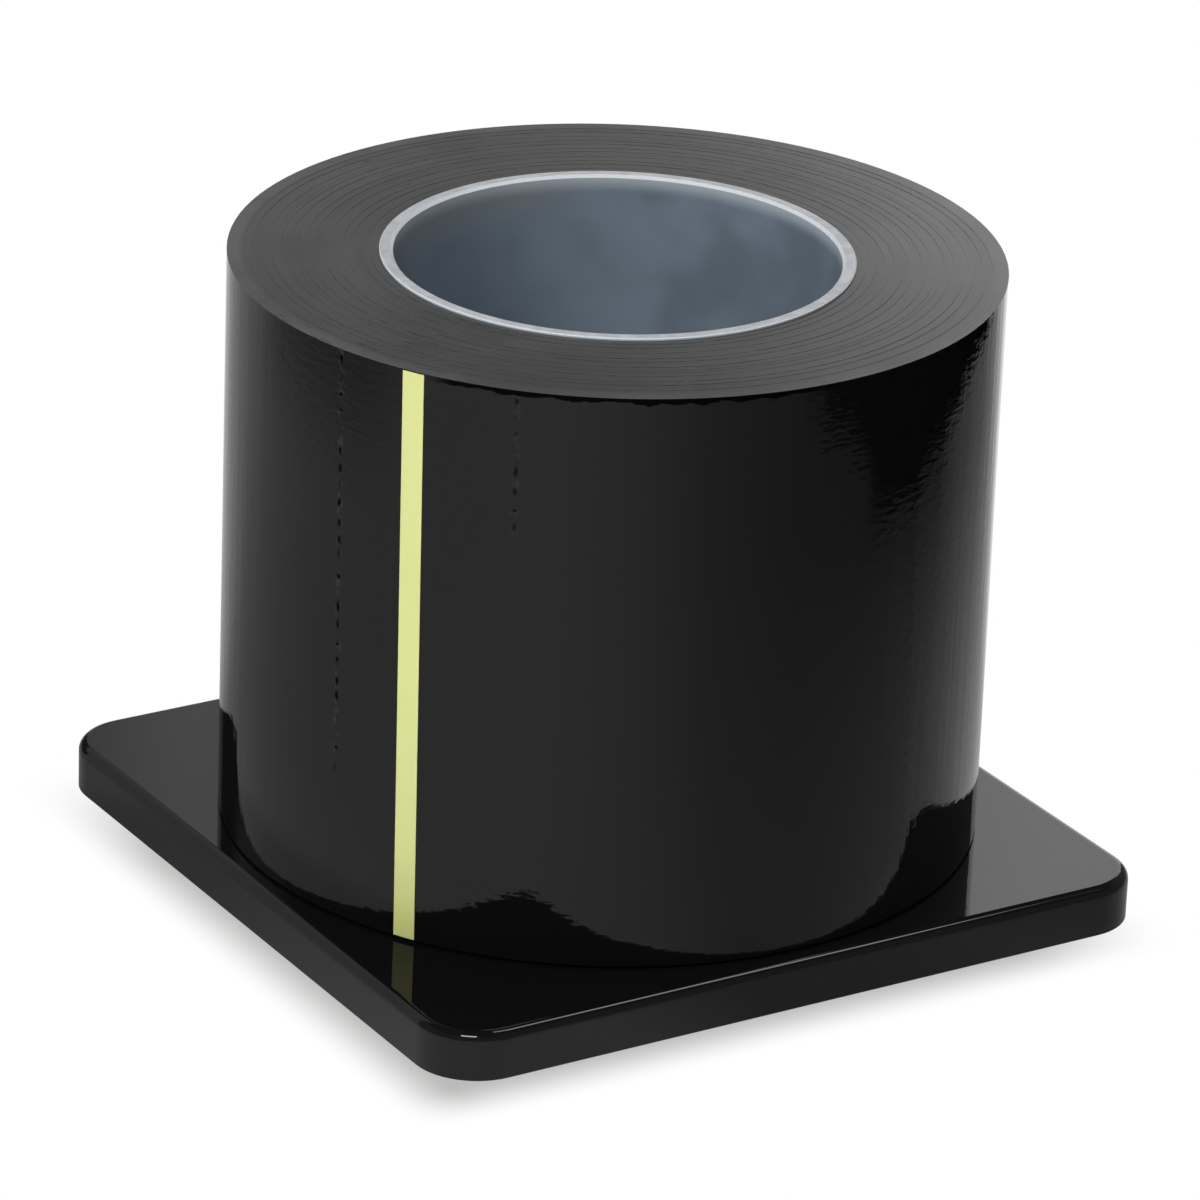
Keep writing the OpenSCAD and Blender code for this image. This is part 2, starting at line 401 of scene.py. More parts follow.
def makeFilmMaterial():
    material, tree, output = newMaterial("black film")
    space = useGroup(tree, rollSpace, -1500, 0)
    position, height = space.outputs["Position"], space.outputs["Height"]
    surface = addNode(tree, "ShaderNodeNewGeometry", -1500, -400)
    normal = addNode(tree, "ShaderNodeSeparateXYZ", -1300, -400)
    link(tree, surface.outputs["Normal"], normal.inputs[0])
    upward = mathNode(tree, -1100, -400, "ABSOLUTE", normal.outputs["Z"])
    flatPart = rangeNode(tree, -900, -400, upward, 0.6, 0.8)
    sideFrom = filmHigh.x - filmLook["sideDepth"]
    sideFull = sideFrom + filmLook["sideBlend"]
    inward = rangeNode(tree, -900, -600, space.outputs["Radius"], sideFrom, sideFull, 1.0, 0.0)
    isEnd = mathNode(tree, -800, -500, "MAXIMUM", flatPart, inward)
    onSide = mathNode(tree, -700, -400, "SUBTRACT", 1.0, isEnd)
    shader = addNode(tree, "ShaderNodeBsdfPrincipled", 600, 0, {"IOR": 1.5})

    # ends: edges of the turns, with a few nicks
    fineGrain = useGroup(tree, endGrain, -1100, 700, Position=position, Radius=space.outputs["Radius"],
                         Lines=filmLook["fineRings"], Length=14.0, Seed=3.0)
    wideGrain = useGroup(tree, endGrain, -1100, 500, Position=position, Radius=space.outputs["Radius"],
                         Lines=filmLook["wideRings"], Length=9.0, Seed=11.0)
    wideShare = mathNode(tree, -950, 450, "MULTIPLY", wideGrain.outputs["Mask"], 0.45)
    grain = mathNode(tree, -850, 600, "MULTIPLY_ADD", fineGrain.outputs["Mask"], 0.55, wideShare)
    grainTone = rangeNode(tree, -650, 600, grain, 0.36, 0.64)
    plainEdges = mixColor(tree, -600, 600, grainTone, filmLook["endDark"], filmLook["endColor"])
    outerTurns = rangeNode(tree, -650, 400, space.outputs["Radius"], filmLook["outerBandFrom"],
                           filmLook["outerBandTo"], 0.0, filmLook["outerBandShare"])
    evenEdges = mixColor(tree, -500, 600, outerTurns, plainEdges, filmLook["outerBand"])
    cloud = useGroup(tree, mottle, -700, 800, Position=position, Scale=filmLook["cloudScale"], Detail=5.0,
                     Low=0.34, High=0.66)
    cloudTone = rangeNode(tree, -500, 800, cloud.outputs["Mask"], 0.0, 1.0, 0.0, filmLook["cloudShare"],
                          smooth=False)
    turnEdges = mixColor(tree, -350, 600, cloudTone, evenEdges, filmLook["endCloud"])
    dashes = useGroup(tree, endGrain, -1100, 950, Position=position, Radius=space.outputs["Radius"],
                      Lines=filmLook["nickRings"], Length=210.0, Seed=27.0)
    dashMask = rangeNode(tree, -850, 950, dashes.outputs["Mask"], 0.60, 0.66)
    dashZone = useGroup(tree, mottle, -1100, 1150, Position=position, Scale=filmLook["nickZoneScale"],
                        Detail=1.0, Low=0.48, High=0.62)
    nicks = mathNode(tree, -650, 950, "MULTIPLY", dashMask, dashZone.outputs["Mask"])
    nicked = mixColor(tree, -200, 600, nicks, turnEdges, filmLook["nickColor"])
    flat = addNode(tree, "ShaderNodeSeparateXYZ", -1300, -700)
    link(tree, surface.outputs["True Normal"], flat.inputs[0])
    levelness = mathNode(tree, -1100, -700, "ABSOLUTE", flat.outputs["Z"])
    steep = rangeNode(tree, -900, -800, levelness, 0.3, 0.5, 1.0, 0.0)
    # painted light on the ledge walls: a paler tone, and a bright one where the gloss mirrors them
    rays = addNode(tree, "ShaderNodeLightPath", -400, 1000)
    ledgePaintedLight = mixColor(tree, -200, 850, rays.outputs["Is Glossy Ray"], filmLook["ledgeSheen"],
                     filmLook["ledgeReflectionInGloss"])
    endColor = mixColor(tree, 0, 600, steep, nicked, ledgePaintedLight)

    # side: rows of perforations that show through, with painted shade in the holes and painted glints
    # beside them, and a painted dark reflection under the curled top edge
    holes = glintMasks = None
    for row, (angle, fade, depth) in enumerate(filmLook["rows"]):
        y = -800 - 250 * row
        mark = useGroup(tree, perforationRow, -1100, y, Position=position, Angle=space.outputs["Angle"],
                        Height=height, Fade=fade)
        mark.inputs["Row Angle"].default_value = angle
        hole = mathNode(tree, -850, y, "MULTIPLY", mark.outputs["Hole"], depth)
        glintMask = mathNode(tree, -850, y - 100, "MULTIPLY", mark.outputs["Pucker Glint"], depth * depth)
        holes = hole if holes is None else mathNode(tree, -650, y, "MAXIMUM", holes, hole)
        glintMasks = glintMask if glintMasks is None else mathNode(tree, -650, y - 100, "MAXIMUM", glintMasks, glintMask)
    around = mathNode(tree, -1100, -2000, "WRAP", space.outputs["Angle"], 360.0, 0.0)
    rimStart = rangeNode(tree, -900, -1950, around, filmLook["rimFrom"] - 2, filmLook["rimFrom"] + 3)
    rimStop = rangeNode(tree, -900, -2150, around, filmLook["rimTo"] - 5, filmLook["rimTo"] + 4, 1.0, 0.0)
    rimPart = mathNode(tree, -700, -2000, "MULTIPLY", rimStart, rimStop)
    curl = useGroup(tree, windLines, -900, -2350, Position=position, Along=260.0, Across=0.0, Detail=3.0)
    curlDepth = mathNode(tree, -700, -2350, "MULTIPLY_ADD", curl.outputs["Height"], filmLook["curlDepth"],
                         filmLook["curlStart"])
    fromTop = mathNode(tree, -900, -2550, "SUBTRACT", filmHigh.z, height)
    underCurl = mathNode(tree, -500, -2350, "SUBTRACT", curlDepth, fromTop)
    curlMask = rangeNode(tree, -300, -2350, underCurl, -0.00008, 0.00008)
    rimDarkReflection = mathNode(tree, -300, -2000, "MULTIPLY", curlMask, rimPart)
    # painted shade in the holes and painted dark reflection under the curl; the gloss is lowered there too
    dark = mathNode(tree, -300, -700, "MAXIMUM", holes, rimDarkReflection)
    paintedDarkSide = mathNode(tree, -100, -700, "MULTIPLY", dark, onSide)
    # painted glints beside the holes
    glintedSide = mixColor(tree, -300, 250, glintMasks, filmLook["sideColor"], filmLook["puckerGlintColor"])
    sideColor = mixColor(tree, -100, 250, paintedDarkSide, glintedSide, filmLook["paintedDarkMark"])
    color = mixColor(tree, 100, 300, isEnd, sideColor, endColor)
    shine = mathNode(tree, 100, -600, "MULTIPLY_ADD", paintedDarkSide, -0.47, 0.5)

    # height: wrinkles round the roll, ridges up it, and the turns' edges on the ends
    wrinkles = useGroup(tree, windLines, -1100, 200, Position=position, Along=130.0, Across=1500.0,
                        Detail=2.0)
    ridges = useGroup(tree, windLines, -1100, 50, Position=position, Along=420.0, Across=7.0, Detail=2.0)
    slow = useGroup(tree, windLines, -1100, -100, Position=position, Along=22.0, Across=90.0, Detail=1.0)
    wrinkleHeight = mathNode(tree, -850, 200, "MULTIPLY", wrinkles.outputs["Height"], filmLook["wrinkle"])
    ridgeHeight = mathNode(tree, -700, 100, "MULTIPLY_ADD", ridges.outputs["Height"], filmLook["ridge"],
                           wrinkleHeight)
    waveHeight = mathNode(tree, -620, 0, "MULTIPLY_ADD", slow.outputs["Height"], filmLook["slowWave"],
                          ridgeHeight)
    ripple = useGroup(tree, windLines, -1100, -250, Position=position, Along=520.0, Across=760.0,
                      Detail=1.0)
    sideHeight = mathNode(tree, -550, -100, "MULTIPLY_ADD", ripple.outputs["Height"], filmLook["ripple"],
                          waveHeight)
    holeHeight = mathNode(tree, -400, 0, "MULTIPLY_ADD", holes, filmLook["holeDepth"], sideHeight)
    endHeight = mathNode(tree, -400, 200, "MULTIPLY", grain, filmLook["grainHeight"])
    surfaceHeight = addNode(tree, "ShaderNodeMix", -200, 0, data_type="FLOAT")
    link(tree, isEnd, surfaceHeight.inputs[0])
    link(tree, holeHeight, surfaceHeight.inputs[2])
    link(tree, endHeight, surfaceHeight.inputs[3])
    aboveMiddle = mathNode(tree, -500, -450, "SUBTRACT", height, (filmLow.z + filmHigh.z) / 2)
    endFacing = mathNode(tree, -350, -450, "SIGN", aboveMiddle)
    endNormal = addNode(tree, "ShaderNodeCombineXYZ", -200, -450)
    link(tree, endFacing, endNormal.inputs["Z"])
    facing = addNode(tree, "ShaderNodeMix", 0, -400, data_type="VECTOR")
    link(tree, isEnd, facing.inputs[0])
    link(tree, surface.outputs["Normal"], facing.inputs[4])
    link(tree, endNormal.outputs[0], facing.inputs[5])
    bump = addNode(tree, "ShaderNodeBump", 200, -200, {"Strength": 1.0, "Distance": 1.0})
    link(tree, surfaceHeight.outputs[0], bump.inputs["Height"])
    link(tree, facing.outputs[1], bump.inputs["Normal"])
    rough = rangeNode(tree, 200, 100, isEnd, 0.0, 1.0, filmLook["sideRoughness"], filmLook["endRoughness"],
                      smooth=False)
    link(tree, rough, shader.inputs["Roughness"])
    link(tree, shine, shader.inputs["Specular IOR Level"])
    link(tree, color, shader.inputs["Base Color"])
    link(tree, bump.outputs[0], shader.inputs["Normal"])
    link(tree, shader.outputs[0], output.inputs["Surface"])
    useMaterial(nodes["film_roll"], material)


# core: milky clear tube that the film is wound on
coreLook = {
    "wall": (0.124, 0.159, 0.197, 1),
    "wallDark": (0.085, 0.108, 0.135, 1),
    "wallGrey": (0.150, 0.155, 0.160, 1),  # just inside the mouth, on one side of the tube
    # painted glow: the inside of the tube drawn paler near each mouth, where light gets in
    "glow": (0.30, 0.33, 0.36, 1),
    "paintedGlowDepth": 0.0035,
    "greyDepth": 0.009,
    "face": (0.255, 0.264, 0.276, 1),
    "faceDark": (0.205, 0.212, 0.222, 1),
    # painted highlight: the bevels drawn paler than the face, for the bright line round the mouth
    "bevelHighlight": (0.34, 0.36, 0.385, 1),
    "roughness": 0.32,
    "patchScale": 46.0,
    "greyTurn": (62.0, 90.0, 125.0, 160.0),  # where the grey starts, is full, and goes again, degrees
    "waviness": 0.00002,
}


def makeCoreMaterial():
    material, tree, output = newMaterial("milky core")
    space = useGroup(tree, rollSpace, -1300, 0)
    position = space.outputs["Position"]
    shader = addNode(tree, "ShaderNodeBsdfPrincipled", 500, 0, {"IOR": 1.49, "Specular IOR Level": 0.5})
    surface = addNode(tree, "ShaderNodeNewGeometry", -1300, 400)
    normal = addNode(tree, "ShaderNodeSeparateXYZ", -1100, 400)
    link(tree, surface.outputs["Normal"], normal.inputs[0])
    upward = mathNode(tree, -900, 400, "ABSOLUTE", normal.outputs["Z"])
    isBevel = rangeNode(tree, -700, 450, upward, 0.3, 0.5)
    isFace = rangeNode(tree, -700, 250, upward, 0.85, 0.95)
    patches = useGroup(tree, mottle, -1000, 0, Position=position, Scale=coreLook["patchScale"], Detail=3.0,
                       Low=0.34, High=0.64)
    wall = mixColor(tree, -700, 0, patches.outputs["Mask"], coreLook["wallDark"], coreLook["wall"])
    fromTop = mathNode(tree, -1100, -300, "SUBTRACT", coreHigh.z, space.outputs["Height"])
    fromBottom = mathNode(tree, -1100, -500, "SUBTRACT", space.outputs["Height"], coreLow.z)
    fromMouth = mathNode(tree, -900, -400, "MINIMUM", fromTop, fromBottom)
    greyPart = rangeNode(tree, -700, -250, fromMouth, 0.002, coreLook["greyDepth"], 0.75, 0.0)
    greyIn, greyFull, greyOut, greyGone = coreLook["greyTurn"]
    greyFrom = rangeNode(tree, -700, -650, space.outputs["Angle"], greyIn, greyFull)
    greyTo = rangeNode(tree, -700, -900, space.outputs["Angle"], greyOut, greyGone, 1.0, 0.0)
    greySide = mathNode(tree, -550, -700, "MULTIPLY", greyFrom, greyTo)
    greyMask = mathNode(tree, -550, -250, "MULTIPLY", greyPart, greySide)
    greyWall = mixColor(tree, -450, 0, greyMask, wall, coreLook["wallGrey"])
    # painted glow near the mouths, where light gets into the tube
    glow = rangeNode(tree, -700, -450, fromMouth, 0.0, coreLook["paintedGlowDepth"], 1.0, 0.0)
    paintedGlowWall = mixColor(tree, -250, 0, glow, greyWall, coreLook["glow"])
    scuffs = useGroup(tree, mottle, -1000, 700, Position=position, Scale=380.0, Detail=3.0, Low=0.35,
                      High=0.65)
    face = mixColor(tree, -450, 500, scuffs.outputs["Mask"], coreLook["faceDark"], coreLook["face"])
    # painted highlight on the bevels
    rim = mixColor(tree, -250, 400, isFace, coreLook["bevelHighlight"], face)
    color = mixColor(tree, 0, 200, isBevel, paintedGlowWall, rim)
    link(tree, color, shader.inputs["Base Color"])
    shader.inputs["Roughness"].default_value = coreLook["roughness"]
    fine = useGroup(tree, windLines, -800, -700, Position=position, Along=200.0, Across=60.0, Detail=3.0)
    bump = addNode(tree, "ShaderNodeBump", 100, -500, {"Strength": 1.0, "Distance": coreLook["waviness"]})
    link(tree, fine.outputs["Height"], bump.inputs["Height"])
    link(tree, bump.outputs[0], shader.inputs["Normal"])
    link(tree, shader.outputs[0], output.inputs["Surface"])
    useMaterial(nodes["core"], material)


# end strip: pale yellow-green tape
stripLook = {
    "color": (0.450, 0.464, 0.185, 1),
    "low": (0.395, 0.415, 0.148, 1),
    "roughness": 0.38,
    "lowReach": 0.02,  # how far up the darker foot reaches, metres
    # painted reflection: the tape drawn darker where the black gloss mirrors it
    "inGloss": (0.02, 0.02, 0.02, 1),
    "paintedReflectionShare": 0.6,
    "grain": 0.00001,
}


def makeStripMaterial():
    material, tree, output = newMaterial("pale tape")
    space = useGroup(tree, rollSpace, -900, 0)
    shader = addNode(tree, "ShaderNodeBsdfPrincipled", 500, 0, {"IOR": 1.45})
    cloud = useGroup(tree, mottle, -600, 100, Position=space.outputs["Position"], Scale=70.0, Detail=3.0,
                     Low=0.3, High=0.7)
    low = rangeNode(tree, -600, -200, space.outputs["Height"], stripLow.z,
                    stripLow.z + stripLook["lowReach"], 1.0, 0.0)
    tone = mathNode(tree, -400, 0, "MULTIPLY_ADD", cloud.outputs["Mask"], 0.25, low, clamp=True)
    tape = mixColor(tree, -200, 0, tone, stripLook["color"], stripLook["low"])
    # painted reflection: the tape is darker where the gloss mirrors it
    rays = addNode(tree, "ShaderNodeLightPath", -400, 300)
    reflectionDimming = mathNode(tree, -200, 300, "MULTIPLY", rays.outputs["Is Glossy Ray"],
                        stripLook["paintedReflectionShare"])
    color = mixColor(tree, 0, 100, reflectionDimming, tape, stripLook["inGloss"])
    link(tree, color, shader.inputs["Base Color"])
    shader.inputs["Roughness"].default_value = stripLook["roughness"]
    fine = useGroup(tree, windLines, -600, -500, Position=space.outputs["Position"], Along=900.0,
                    Across=500.0, Detail=3.0)
    bump = addNode(tree, "ShaderNodeBump", 100, -400, {"Strength": 1.0, "Distance": stripLook["grain"]})
    link(tree, fine.outputs["Height"], bump.inputs["Height"])
    link(tree, bump.outputs[0], shader.inputs["Normal"])
    link(tree, shader.outputs[0], output.inputs["Surface"])
    useMaterial(nodes["end_strip"], material)


# studio: white floor, backdrop behind, dark board at the right, soft lamps
studio = {
    "floorSize": 6.0,
    "floorColor": (0.80, 0.80, 0.80, 1),
    "shadowTint": (0.500, 0.495, 0.490, 1),
    "footRing": 0.086,
    "nearRing": 0.10,
    "farRing": 0.26,
    "world": 0.42,
    "worldLowGloss": 0.14,
    "worldHighGloss": 0.06,
    "backDistance": 0.62,
    "backLeft": -2.2,
    "backRight": 0.29,
    "backTop": 1.1,
    "boardStep": 0.00175,
    "boardFade": (-72.0, -59.0),  # the board comes in between these directions, degrees
    "boardPlainFrom": 0.348,  # the board has no teeth past this radius
    "boardTeethTo": 0.290,  # radius up to which the left end has long teeth
    "boardLeftTeeth": -14.0,  # how far the teeth on the board's ends reach, degrees
    "boardFarTeeth": 2.0,
    "boardRightTeeth": 9.0,
    "boardSeed": 4,
    "glossPatch": (0.17, 0.17, 0.17, 1),  # darker patch in the floor's gloss tone, far out at the left
    "glossPatchRadius": (0.245, 0.365),
    "glossPatchTurn": (118, 140, 165, 190),
    "backFade": (0.345, 0.41),  # heights between which the backdrop darkens
    "backFadeTones": (1.26, 0.02),
    "backEven": (-0.22, -0.12),  # left of this the backdrop doesn't darken upwards
    "gloomHeight": (0.36, 0.46),
    "gloomDepth": 0.9,
    "gloomAcross": (-1.15, -1.05, -0.30, -0.22),
    "worldFade": (0.60, 0.72),
}

lamps = (  # name, place, where it points, size in metres, watts, seen in the gloss
    ("overhead", (0.10, 0.05, 1.3), (0, 0, 0.05), (0.9, 0.9), 12.0, False),
    ("leftSoft", (-0.82, -0.22, 0.90), (0, 0, 0.07), (0.5, 0.5), 12.0, False),
    ("edgeLight", (0.391, -0.12, 0.92), (0, 0, 0.03), (0.182, 0.36), 0.80, True),
    ("edgeLightDim", (0.541, -0.12, 0.92), (0, 0, 0.03), (0.118, 0.36), 0.045, True),
    ("cornerLight", (-0.50, -0.54, 0.80), (-0.06, -0.06, 0), (0.40, 0.20), 2.8, True),
)

floorTones = (  # direction round the object in degrees, tone in the gloss at its foot, near it and far off
    (0, 0.55, 0.52, 0.26), (8, 0.60, 0.58, 0.30), (16, 0.80, 0.80, 0.44), (30, 1.30, 1.30, 1.00),
    (50, 1.40, 1.40, 1.20), (80, 0.80, 0.80, 0.70), (100, 0.52, 0.52, 0.45), (113, 0.34, 0.38, 0.41),
    (122, 0.24, 0.26, 0.37), (132, 0.20, 0.25, 0.35), (142, 0.20, 0.28, 0.36), (165, 0.22, 0.34, 0.38),
    (190, 0.31, 0.45, 0.45), (225, 0.46, 0.50, 0.50), (245, 0.48, 0.42, 0.40), (265, 0.24, 0.27, 0.23),
    (285, 0.25, 0.24, 0.15), (312, 0.37, 0.28, 0.10), (326, 0.50, 0.37, 0.08), (340, 0.55, 0.50, 0.11),
    (348, 0.55, 0.50, 0.21),
)

backTones = (  # place across the backdrop in metres, tone
    (-2.2, 0.34), (-0.22, 0.36), (-0.15, 0.20), (-0.112, 0.39), (-0.07, 0.34), (-0.03, 0.28),
    (0.03, 0.42), (0.08, 0.86), (0.12, 1.0),
)


def stageObject(name, mesh, material):
    obj = bpy.data.objects.new(name, mesh)
    bpy.context.scene.collection.objects.link(obj)
    useMaterial(obj, material)
    return obj


def flatMesh(name, corners, height=0.0):
    mesh = bpy.data.meshes.new(name)
    mesh.from_pydata([(x, y, height) for x, y in corners], [], [list(range(len(corners)))])
    return mesh


def onlyInGloss(obj):
    obj.visible_camera = False
    obj.visible_diffuse = False
    obj.visible_shadow = False


def toneRamp(tree, x, y, turn, column):
    ramp = addNode(tree, "ShaderNodeValToRGB", x, y)
    tones = list(floorTones) + [(360,) + floorTones[0][1:]]
    while len(ramp.color_ramp.elements) < len(tones):
        ramp.color_ramp.elements.new(0.5)
    for stop, row in zip(ramp.color_ramp.elements, tones):
        stop.position = row[0] / 360
        stop.color = (row[column], row[column], row[column], 1)
    link(tree, turn, ramp.inputs["Fac"])
    return ramp.outputs["Color"]


def makeFloor():
    material, tree, output = newMaterial("studio floor")
    rays = addNode(tree, "ShaderNodeLightPath", -900, 400)
    space = useGroup(tree, rollSpace, -1300, -300)
    share = mathNode(tree, -1100, -300, "DIVIDE", space.outputs["Angle"], 360.0)
    turn = mathNode(tree, -900, -300, "FRACT", share)
    paper = addNode(tree, "ShaderNodeBsdfDiffuse", -300, 200)
    paper.inputs["Color"].default_value = studio["floorColor"]
    shadow = useGroup(tree, contactShadow, -700, 750, Position=space.outputs["Position"])
    shadow.inputs["Half Side"].default_value = baseHigh.x
    shade = mixColor(tree, -300, 700, shadow.outputs["Mask"], (1.0, 1.0, 1.0, 1.0), studio["shadowTint"])
    white = addNode(tree, "ShaderNodeEmission", -150, 600, {"Strength": 1.0})
    link(tree, shade, white.inputs["Color"])
    paperSeen = addNode(tree, "ShaderNodeMixShader", 200, 200)
    link(tree, rays.outputs["Is Camera Ray"], paperSeen.inputs[0])
    link(tree, paper.outputs[0], paperSeen.inputs[1])
    link(tree, white.outputs[0], paperSeen.inputs[2])

    foot = toneRamp(tree, -700, 0, turn, 1)
    near = toneRamp(tree, -700, -300, turn, 2)
    far = toneRamp(tree, -700, -600, turn, 3)
    outward = rangeNode(tree, -700, -900, space.outputs["Radius"], studio["nearRing"], studio["farRing"],
                        smooth=False)
    beyondFoot = rangeNode(tree, -700, 250, space.outputs["Radius"], studio["footRing"], studio["nearRing"])
    close = mixColor(tree, -500, -100, beyondFoot, foot, near)
    tone = mixColor(tree, -400, -400, outward, close, far)
    glossPatchOut = rangeNode(tree, -700, -1150, space.outputs["Radius"], *studio["glossPatchRadius"])
    glossPatchIn, glossPatchFull, glossPatchEnd, glossPatchGone = (degrees / 360 for degrees in studio["glossPatchTurn"])
    glossPatchFrom = rangeNode(tree, -700, -1400, turn, glossPatchIn, glossPatchFull)
    glossPatchTo = rangeNode(tree, -700, -1650, turn, glossPatchEnd, glossPatchGone, 1.0, 0.0)
    glossPatchPart = mathNode(tree, -400, -1400, "MULTIPLY", glossPatchFrom, glossPatchTo)
    glossPatchMask = mathNode(tree, -200, -1200, "MULTIPLY", glossPatchOut, glossPatchPart)
    shaded = mixColor(tree, -100, -400, glossPatchMask, tone, studio["glossPatch"])
    glow = addNode(tree, "ShaderNodeEmission", 200, -300)
    link(tree, shaded, glow.inputs["Color"])
    final = addNode(tree, "ShaderNodeMixShader", 500, 0)
    link(tree, rays.outputs["Is Glossy Ray"], final.inputs[0])
    link(tree, paperSeen.outputs[0], final.inputs[1])
    link(tree, glow.outputs[0], final.inputs[2])
    link(tree, final.outputs[0], output.inputs["Surface"])
    half = studio["floorSize"] / 2
    corners = ((-half, -half), (half, -half), (half, half), (-half, half))
    stageObject("studioFloor", flatMesh("studioFloor", corners, -0.00002), material)


boardRows = (  # radius in metres, left and right end of the dark board in degrees
    (0.255, -49, -37), (0.258, -50, -31), (0.261, -51, -28), (0.265, -51, -27), (0.269, -51, -25),
    (0.275, -51, -19), (0.283, -50, -13), (0.291, -50, -9), (0.2965, -51, -7), (0.305, -54, 0),
    (0.314, -59, 7.5), (0.322, -65, 8.7), (0.330, -69, 10), (0.348, -71, 12.4), (0.400, -71, 14),
    (1.700, -71, 14),
)
boardSlivers = ((0.2525, -47, -38), (0.2500, -50, -42), (0.2475, -49, -45), (0.2460, -51, -48))


def polar(radius, degrees):
    return (radius * math.cos(math.radians(degrees)), radius * math.sin(math.radians(degrees)), 0.0)


def raggedRows(chance):
    rows = []
    for (radius, left, right), (nextRadius, nextLeft, nextRight) in zip(boardRows, boardRows[1:]):
        steps = round((nextRadius - radius) / studio["boardStep"])
        count = max(1, steps) if radius < studio["boardPlainFrom"] else 1
        for k in range(count):
            share = k / count
            tooth = len(rows) % 2
            reach = studio["boardLeftTeeth"] if radius < studio["boardTeethTo"] else studio["boardFarTeeth"]
            leftTooth = tooth * reach * chance.random()
            rightTooth = tooth * studio["boardRightTeeth"] * chance.random()
            rows.append((radius + (nextRadius - radius) * share,
                         left + (nextLeft - left) * share - leftTooth,
                         right + (nextRight - right) * share + rightTooth - 2.0))
    return rows + [boardRows[-1]]


def makeBoard():  # dark board that lies on the floor at the right, seen only in the gloss
    material, tree, output = newMaterial("dark board")
    space = useGroup(tree, rollSpace, -800, 0)
    paint = addNode(tree, "ShaderNodeEmission", 0, -100, {"Strength": 0.0})
    clear = addNode(tree, "ShaderNodeBsdfTransparent", 0, 100)
    solid = rangeNode(tree, -300, 200, space.outputs["Angle"], *studio["boardFade"])
    shader = addNode(tree, "ShaderNodeMixShader", 400, 0)
    link(tree, solid, shader.inputs[0])
    link(tree, clear.outputs[0], shader.inputs[1])
    link(tree, paint.outputs[0], shader.inputs[2])
    link(tree, shader.outputs[0], output.inputs["Surface"])
    corners, faces = [], []
    rows = raggedRows(random.Random(studio["boardSeed"]))
    for k, (radius, left, right) in enumerate(rows):
        middle = (left + right) / 2
        corners += [polar(radius, left), polar(radius + 0.001, middle), polar(radius + 0.002, right)]
        if k:
            low, high = 3 * (k - 1), 3 * k
            faces += [[low, low + 1, high + 1, high], [low + 1, low + 2, high + 2, high + 1]]
    for radius, left, right in boardSlivers:
        first = len(corners)
        middle = (left + right) / 2
        corners += [polar(radius, left), polar(radius, middle), polar(radius + 0.0015, right),
                    polar(radius + 0.0016, middle)]
        faces.append([first, first + 1, first + 2, first + 3])
    mesh = bpy.data.meshes.new("darkBoard")
    mesh.from_pydata(corners, [], faces)
    obj = stageObject("darkBoard", mesh, material)
    obj.location.z = 0.0001
    onlyInGloss(obj)


def makeBackdrop():  # upright sheet behind, brighter at the right, seen only in the gloss
    material, tree, output = newMaterial("backdrop glow")
    local = addNode(tree, "ShaderNodeTexCoord", -900, 0)
    split = addNode(tree, "ShaderNodeSeparateXYZ", -700, 0)
    link(tree, local.outputs["Object"], split.inputs[0])
    left, right, top = studio["backLeft"], studio["backRight"], studio["backTop"]
    across = rangeNode(tree, -550, 100, split.outputs["X"], left, right, smooth=False)
    tone = addNode(tree, "ShaderNodeValToRGB", -400, 100)
    while len(tone.color_ramp.elements) < len(backTones):
        tone.color_ramp.elements.new(0.5)
    for stop, (place, bright) in zip(tone.color_ramp.elements, backTones):
        stop.position = (place - left) / (right - left)
        stop.color = (bright, bright, bright, 1)
    link(tree, across, tone.inputs["Fac"])
    fade = rangeNode(tree, -400, -300, split.outputs["Z"], *studio["backFade"], *studio["backFadeTones"])
    kept = rangeNode(tree, -400, -600, split.outputs["X"], *studio["backEven"], 1.0, 0.0)
    height = addNode(tree, "ShaderNodeMix", -200, -300, data_type="FLOAT")
    link(tree, kept, height.inputs[0])
    link(tree, fade, height.inputs[2])
    height.inputs[3].default_value = 1.0
    gloomLow = rangeNode(tree, -400, -900, split.outputs["Z"], *studio["gloomHeight"],
                         studio["gloomDepth"], 0.0)
    gloomIn, gloomFull, gloomEnd, gloomGone = studio["gloomAcross"]
    gloomFrom = rangeNode(tree, -400, -1150, split.outputs["X"], gloomIn, gloomFull)
    gloomTo = rangeNode(tree, -400, -1400, split.outputs["X"], gloomEnd, gloomGone, 1.0, 0.0)
    gloomPart = mathNode(tree, -200, -1100, "MULTIPLY", gloomFrom, gloomTo)
    gloom = mathNode(tree, -50, -900, "MULTIPLY", gloomLow, gloomPart)
    clear = mathNode(tree, 100, -900, "SUBTRACT", 1.0, gloom)
    raised = mathNode(tree, -50, -300, "MULTIPLY", height.outputs[0], clear)
    strength = mathNode(tree, -100, 0, "MULTIPLY", tone.outputs["Color"], raised)
    glow = addNode(tree, "ShaderNodeEmission", 0, 0)
    link(tree, strength, glow.inputs["Strength"])
    link(tree, glow.outputs[0], output.inputs["Surface"])
    mesh = bpy.data.meshes.new("backdrop")
    mesh.from_pydata([(left, 0, 0), (right, 0, 0), (right, 0, top), (left, 0, top)], [], [[0, 1, 2, 3]])
    obj = stageObject("backdrop", mesh, material)
    turn = math.radians(view["turn"])
    away = Vector((-math.sin(turn), math.cos(turn), 0))
    obj.matrix_world = Matrix.Translation(away * studio["backDistance"]) @ Matrix.Rotation(turn, 4, "Z")
    onlyInGloss(obj)


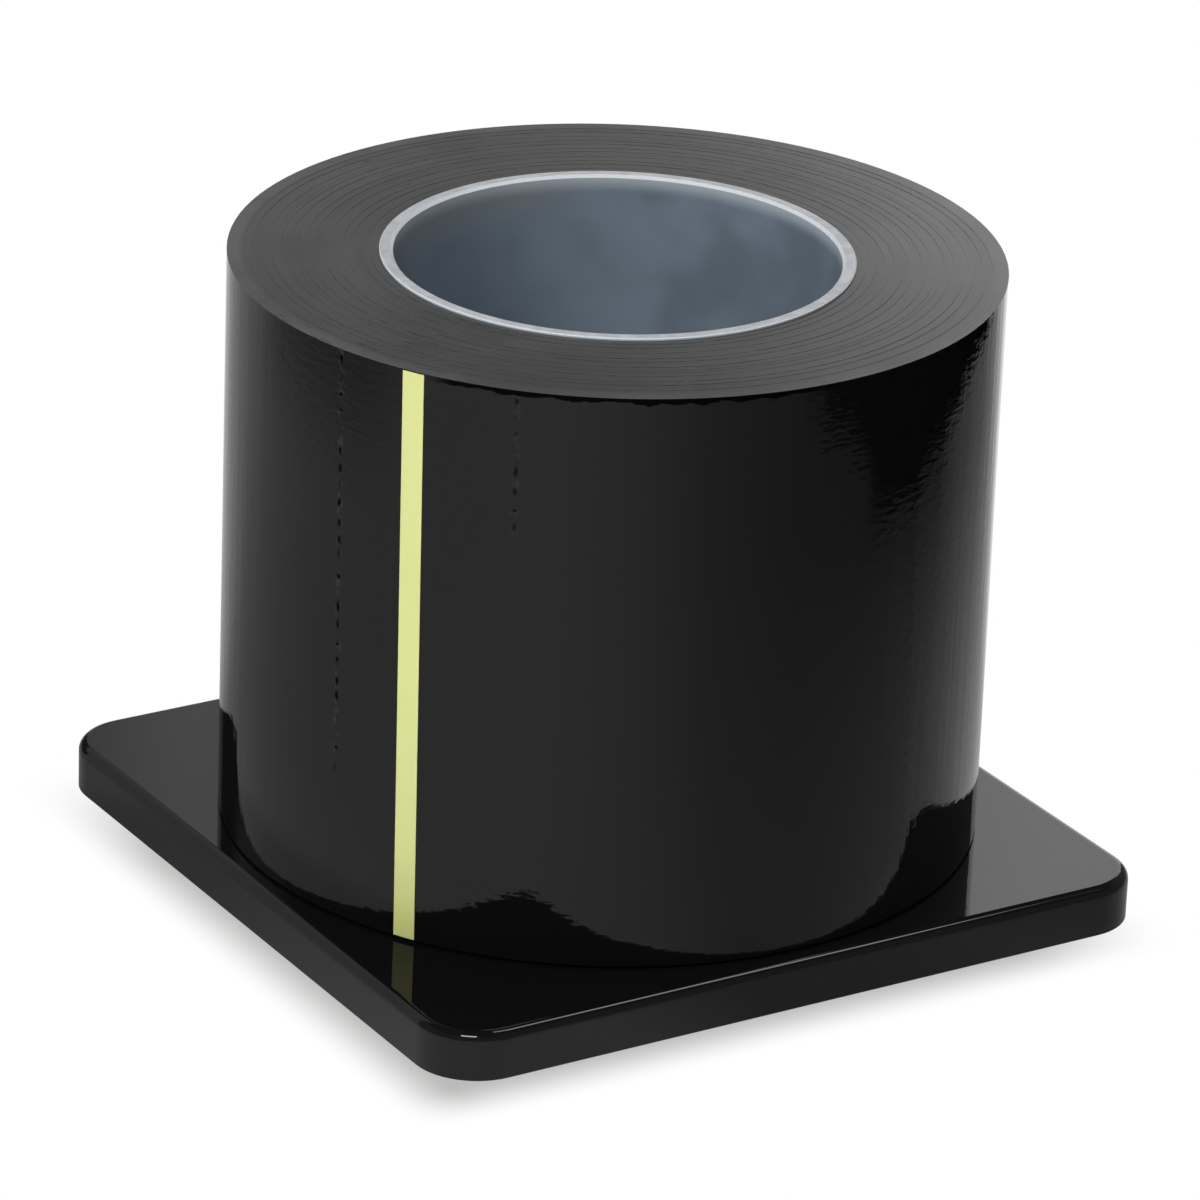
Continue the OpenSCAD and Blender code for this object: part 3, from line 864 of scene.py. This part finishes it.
def makeLamp(name, place, aim, size, power, gloss):
    data = bpy.data.lights.new(name, "AREA")
    data.shape = "RECTANGLE"
    data.size, data.size_y = size
    data.energy = power
    lamp = bpy.data.objects.new(name, data)
    bpy.context.scene.collection.objects.link(lamp)
    direction = Vector(aim) - Vector(place)
    lamp.matrix_world = Matrix.Translation(place) @ direction.to_track_quat("-Z", "Y").to_matrix().to_4x4()
    lamp.visible_glossy = gloss


def makeWorld():
    world = bpy.data.worlds.new("studio")
    bpy.context.scene.world = world
    world.use_nodes = True
    tree = world.node_tree
    tree.nodes.clear()
    output = addNode(tree, "ShaderNodeOutputWorld", 600, 0)
    rays = addNode(tree, "ShaderNodeLightPath", -600, 200)
    white = addNode(tree, "ShaderNodeBackground", -200, 200, {"Strength": 1.0})
    soft = addNode(tree, "ShaderNodeBackground", -200, 0, {"Strength": studio["world"]})
    inGloss = addNode(tree, "ShaderNodeBackground", -200, -200)
    place = addNode(tree, "ShaderNodeTexCoord", -900, -200)
    split = addNode(tree, "ShaderNodeSeparateXYZ", -700, -200)
    link(tree, place.outputs["Generated"], split.inputs[0])
    tone = rangeNode(tree, -500, -200, split.outputs["Z"], *studio["worldFade"], studio["worldLowGloss"],
                     studio["worldHighGloss"])
    link(tree, tone, inGloss.inputs["Strength"])
    for background in (white, soft, inGloss):
        background.inputs["Color"].default_value = (1, 1, 1, 1)
    glossy = addNode(tree, "ShaderNodeMixShader", 100, -50)
    link(tree, rays.outputs["Is Glossy Ray"], glossy.inputs[0])
    link(tree, soft.outputs[0], glossy.inputs[1])
    link(tree, inGloss.outputs[0], glossy.inputs[2])
    direct = mathNode(tree, -200, 400, "MAXIMUM", rays.outputs["Is Camera Ray"],
                      rays.outputs["Is Transmission Ray"])
    final = addNode(tree, "ShaderNodeMixShader", 350, 0)
    link(tree, direct, final.inputs[0])
    link(tree, glossy.outputs[0], final.inputs[1])
    link(tree, white.outputs[0], final.inputs[2])
    link(tree, final.outputs[0], output.inputs["Surface"])


def makeStudio():
    makeFloor()
    makeBoard()
    makeBackdrop()
    for name, place, aim, size, power, gloss in lamps:
        makeLamp(name, place, aim, size, power, gloss)
    makeWorld()
    bpy.context.scene.view_settings.view_transform = "Standard"


makeCamera()
print("camera placed")
makeBaseMaterial()
makeFilmMaterial()
makeCoreMaterial()
makeStripMaterial()
print("finishes made")
makeStudio()
print("studio ready")
